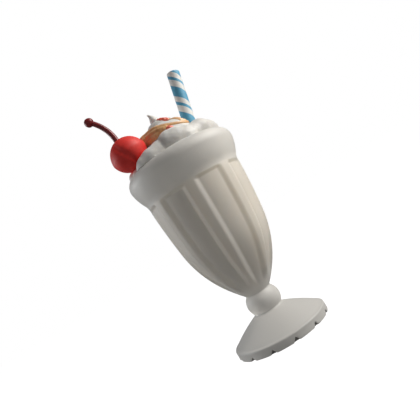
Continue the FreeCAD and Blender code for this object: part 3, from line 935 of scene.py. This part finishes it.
# Painted shade in the notches starts this far in from the foot's side, and is full over this
# length.
SHADE_FROM = 0.2
SHADE_LENGTH = 0.8


def glass_material():
    """Heavy pressed glass, milky with chill, with painted shade in its notches. Lamps shine through
    it.
    """
    made = Nodes("glass")
    grain = made.noise(220, 4, 0.6)
    split = made.add("SeparateXYZ", Vector=made.place())
    square_x = made.math("MULTIPLY", split.outputs["X"], split.outputs["X"])
    squares = made.math("MULTIPLY_ADD", split.outputs["Y"], split.outputs["Y"], square_x)
    depth = made.math("SUBTRACT", (FOOT_RADIUS - SHADE_FROM) * MM, made.math("SQRT", squares))
    inside = made.math("DIVIDE", depth, SHADE_LENGTH * MM, clamp=True)
    low = made.math("LESS_THAN", split.outputs["Z"], NOTCH_HEIGHT * MM)
    # Painted shade: the base colour turns dark grey inside the notches, low on the foot's side.
    painted_notch_shade = made.math("MULTIPLY", inside, low)
    shader = made.add(
        "BsdfPrincipled",
        Base_Color=made.mix(painted_notch_shade, linear(226, 224, 220), linear(96, 95, 92)),
        Roughness=0.5,
        IOR=1.5,
        Specular_IOR_Level=0.3,
        Transmission_Weight=0.35,
        Normal=made.bump(grain, 0.12, 0.0002),
    )
    clear = made.add("BsdfTransparent", Color=(0.9, 0.9, 0.9, 1))
    return made.finish(by_ray(made.tree, "Is Shadow Ray", shader, clear))


def shake_material():
    """Thick vanilla shake against the glass: cream coloured, faintly mottled."""
    made = Nodes("milkshake")
    cloud = made.noise(38, 4, 0.55, 0.6)
    colour = made.ramp(cloud, (0.35, linear(214, 202, 180)), (0.65, linear(228, 218, 198)))
    bubbles = made.noise(900, 2, 0.5)
    shader = made.add(
        "BsdfPrincipled", Base_Color=colour, Roughness=0.45, Subsurface_Weight=0.25,
        Subsurface_Radius=(0.004, 0.003, 0.002), Subsurface_Scale=1.0,
        Normal=made.bump(bubbles, 0.15, 0.0002),
    )
    return made.finish(shader.outputs[0])


# The stain reaches this far from the cherry's middle, in metres, and fades over this length.
STAIN_REACH = 0.0165
STAIN_FADE = 0.0035
STAIN_RAGGED = 0.004


def cream_material():
    """Whipped cream: nearly white, softly shining, with a pink stain under the cherry."""
    made = Nodes("whipped_cream")
    tint = made.noise(60, 3, 0.5)
    colour = made.ramp(tint, (0.3, linear(216, 213, 208)), (0.7, linear(224, 222, 218)))
    away = made.tree.nodes.new("ShaderNodeVectorMath")
    away.operation = "DISTANCE"
    made.tree.links.new(made.place(), away.inputs[0])
    away.inputs[1].default_value = tuple(v * MM for v in CHERRY_MIDDLE)
    noise = made.noise(260, 3)
    ragged = made.math("MULTIPLY_ADD", noise, STAIN_RAGGED, away.outputs["Value"])
    past = made.math("DIVIDE", made.math("SUBTRACT", ragged, STAIN_REACH), STAIN_FADE)
    near = made.math("SUBTRACT", 1.0, past, clamp=True)
    stained = made.mix(made.math("MULTIPLY", near, 0.75), colour, linear(240, 120, 110))
    foam = made.math("ADD", made.noise(700, 3, 0.6), made.math("MULTIPLY", made.noise(150, 3), 1.5))
    shader = made.add(
        "BsdfPrincipled", Base_Color=stained, Roughness=0.5, Subsurface_Weight=0.3,
        Subsurface_Radius=(0.003, 0.0026, 0.0022), Subsurface_Scale=1.0,
        Normal=made.bump(foam, 0.25, 0.0003),
    )
    return made.finish(shader.outputs[0])


def cherry_material():
    """Cherry skin: bright red, softly mottled and satin."""
    made = Nodes("cherry")
    mottle = made.noise(110, 4, 0.6, 0.8)
    colour = made.ramp(mottle, (0.3, linear(212, 38, 32)), (0.7, linear(230, 56, 46)))
    skin = made.noise(500, 3)
    shader = made.add(
        "BsdfPrincipled", Base_Color=colour, Roughness=0.58, Subsurface_Weight=0.2,
        Subsurface_Radius=(0.004, 0.001, 0.0008), Subsurface_Scale=1.0,
        Normal=made.bump(skin, 0.08, 0.0002),
    )
    return made.finish(shader.outputs[0])


def stem_material():
    """Stem: dark red, softly mottled, with a fine grain."""
    made = Nodes("cherry_stem")
    mottle = made.noise(240, 4, 0.6)
    colour = made.ramp(mottle, (0.3, linear(96, 12, 14)), (0.7, linear(136, 26, 28)))
    shader = made.add(
        "BsdfPrincipled", Base_Color=colour, Roughness=0.38,
        Normal=made.bump(made.noise(600, 3), 0.3, 0.0003),
    )
    return made.finish(shader.outputs[0])


# The stripes climb this far in one turn. Each has its middle and its width as shares of a turn.
STRIPE_RISE = 24.5
STRIPE_BANDS = ((0.5, 0.42), (0.02, 0.14))
STRIPE_EDGE = 0.015


def straw_material():
    """Paper straw: a wide and a narrow blue stripe wound round white paper."""
    made = Nodes("straw")
    layout = made.tree.nodes.new("ShaderNodeUVMap")
    layout.uv_map = "UVMap"
    split = made.add("SeparateXYZ", Vector=layout.outputs[0])
    along = made.math("MULTIPLY", split.outputs["Y"], STRAW_LENGTH / STRIPE_RISE)
    turn = made.math("ADD", split.outputs["X"], along)
    blue = 0.0
    for middle, share in STRIPE_BANDS:
        phase = made.math("FRACT", made.math("ADD", turn, 0.5 - middle))
        off = made.math("ABSOLUTE", made.math("SUBTRACT", phase, 0.5))
        band = made.math("DIVIDE", made.math("SUBTRACT", share / 2, off), STRIPE_EDGE, clamp=True)
        blue = made.math("MAXIMUM", blue, band)
    fibre = made.noise(420, 4, 0.7)
    white = made.ramp(fibre, (0.3, linear(232, 231, 227)), (0.7, linear(244, 243, 240)))
    ink = made.ramp(fibre, (0.3, linear(84, 160, 196)), (0.7, linear(98, 176, 210)))
    shader = made.add(
        "BsdfPrincipled", Base_Color=made.mix(blue, white, ink), Roughness=0.5,
        Normal=made.bump(made.noise(1400, 3), 0.2, 0.0001),
    )
    return made.finish(shader.outputs[0])


def sauce_material(name, dark, light):
    """A sauce with a soft shine that lets a little light in."""
    made = Nodes(name)
    colour = made.ramp(made.noise(130, 3, 0.5), (0.3, dark), (0.7, light))
    shader = made.add(
        "BsdfPrincipled", Base_Color=colour, Roughness=0.4, Subsurface_Weight=0.08,
        Subsurface_Radius=(0.003, 0.0015, 0.0006), Subsurface_Scale=1.0, Coat_Weight=0.2,
        Coat_Roughness=0.1, Normal=made.bump(made.noise(90, 2), 0.1, 0.0005),
    )
    return made.finish(shader.outputs[0])


# ---------------------------------------------------------------- stage, lights and camera
# Floor and backdrop look nearly white, and light the glass only dimly. The floor's half side is
# in millimetres, as all meshes are. Lights and camera are placed in metres.
FLOOR_HALF = 30000.0
FLOOR_GLOW = 0.97
FLOOR_DIM = 0.27
BACKDROP_DIM = 0.15
LIGHT_DISTANCE = 1.0
LIGHT_AIM = (0, 0, 0.12)
# Each light's angle round the glass, angle above the floor, size, power and colour.
LIGHTS = {
    "key": (-6, 36, 0.6, 11.3, (1.0, 0.975, 0.93)),
    "fill": (162, 14, 0.5, 3.8, (0.96, 0.98, 1.0)),
    "front": (242, 4, 0.6, 0.5, (1.0, 0.99, 0.97)),
}


def make_stage():
    """A wide pale floor. It gives the object less light from below than it shows the camera."""
    far = FLOOR_HALF
    corners = [(-far, -far, 0), (far, -far, 0), (far, far, 0), (-far, far, 0)]
    floor = mesh_object("floor", corners, [(0, 1, 2, 3)], smooth=False)
    made = Nodes("floor")
    seen = made.add(
        "BsdfPrincipled", Base_Color=(0.15, 0.15, 0.15, 1), Roughness=0.9,
        Emission_Color=(1, 1, 1, 1), Emission_Strength=FLOOR_GLOW,
    )
    dim = made.add("BsdfDiffuse", Color=(FLOOR_DIM, FLOOR_DIM, FLOOR_DIM, 1))
    dress(floor, made.finish(by_ray(made.tree, "Is Camera Ray", dim, seen)))


def make_world():
    """A white backdrop that lights the object only dimly."""
    world = bpy.data.worlds.new("studio")
    world.use_nodes = True
    tree = world.node_tree
    tree.nodes.clear()
    backdrops = []
    for colour, strength in (((1, 1, 1, 1), 1.0), ((0.95, 0.97, 1, 1), BACKDROP_DIM)):
        backdrop = tree.nodes.new("ShaderNodeBackground")
        backdrop.inputs["Color"].default_value = colour
        backdrop.inputs["Strength"].default_value = strength
        backdrops.append(backdrop)
    shown, dim = backdrops
    both = by_ray(tree, "Is Camera Ray", dim, shown)
    tree.links.new(both, tree.nodes.new("ShaderNodeOutputWorld").inputs["Surface"])
    bpy.context.scene.world = world


def soft_light(name, azimuth, elevation, size, power, colour):
    """A round soft light that faces the middle of the glass."""
    data = bpy.data.lights.new(name, "AREA")
    data.shape, data.size, data.energy, data.color = "DISK", size, power, colour
    lamp = bpy.data.objects.new(name, data)
    bpy.context.collection.objects.link(lamp)
    a, e = math.radians(azimuth), math.radians(elevation)
    way = Vector((math.cos(a) * math.cos(e), math.sin(a) * math.cos(e), math.sin(e)))
    lamp.location = Vector(LIGHT_AIM) + way * LIGHT_DISTANCE
    lamp.rotation_mode = "QUATERNION"
    lamp.rotation_quaternion = way.to_track_quat("Z", "Y")


CAMERA_PLACE = (0.0006, -0.3562, 0.0962)
CAMERA_PITCH = math.radians(3.34)
CAMERA_ROLL = math.radians(31.2)
CAMERA_LENS = 36.55


def make_camera():
    """The camera stands close in front and is rolled so that the glass leans left."""
    data = bpy.data.cameras.new("camera")
    data.sensor_width, data.lens = 36.0, CAMERA_LENS
    data.clip_start, data.clip_end = 0.01, 100
    camera = bpy.data.objects.new("camera", data)
    bpy.context.collection.objects.link(camera)
    upright = Matrix.Rotation(math.pi / 2 + CAMERA_PITCH, 4, "X")
    roll = Matrix.Rotation(-CAMERA_ROLL, 4, "Z")
    camera.matrix_world = Matrix.Translation(CAMERA_PLACE) @ upright @ roll
    bpy.context.scene.camera = camera


# ---------------------------------------------------------------- making everything
# Each sauce's thickness and how ragged its edges are.
CARAMEL = (1.2, 0.12)
SYRUP = (1.5, 0.4)


def main():
    """Builds every piece and gives it its finish."""
    dress(make_glass(), glass_material())
    dress(make_shake(), shake_material())
    field = cream_field()
    dress(make_cream(field), cream_material())
    runs = (CARAMEL_RUNS, CARAMEL_SIDE_RUNS)
    caramel = sauce_piece("caramel_sauce", "caramel", field, *runs, *CARAMEL)
    dress(caramel, sauce_material("caramel", linear(205, 152, 100), linear(230, 184, 132)))
    runs = (SYRUP_RUNS, SYRUP_SIDE_RUNS)
    syrup = sauce_piece("cherry_syrup", "syrup", field, *runs, *SYRUP)
    dress(syrup, sauce_material("syrup", linear(224, 80, 58), linear(244, 140, 112)))
    dress(make_cherry(), cherry_material())
    dress(make_stem(), stem_material())
    dress(make_straw(), straw_material())
    make_stage()
    make_world()
    for name, values in LIGHTS.items():
        soft_light(name, *values)
    bpy.context.scene.view_settings.view_transform = "Standard"
    make_camera()


main()
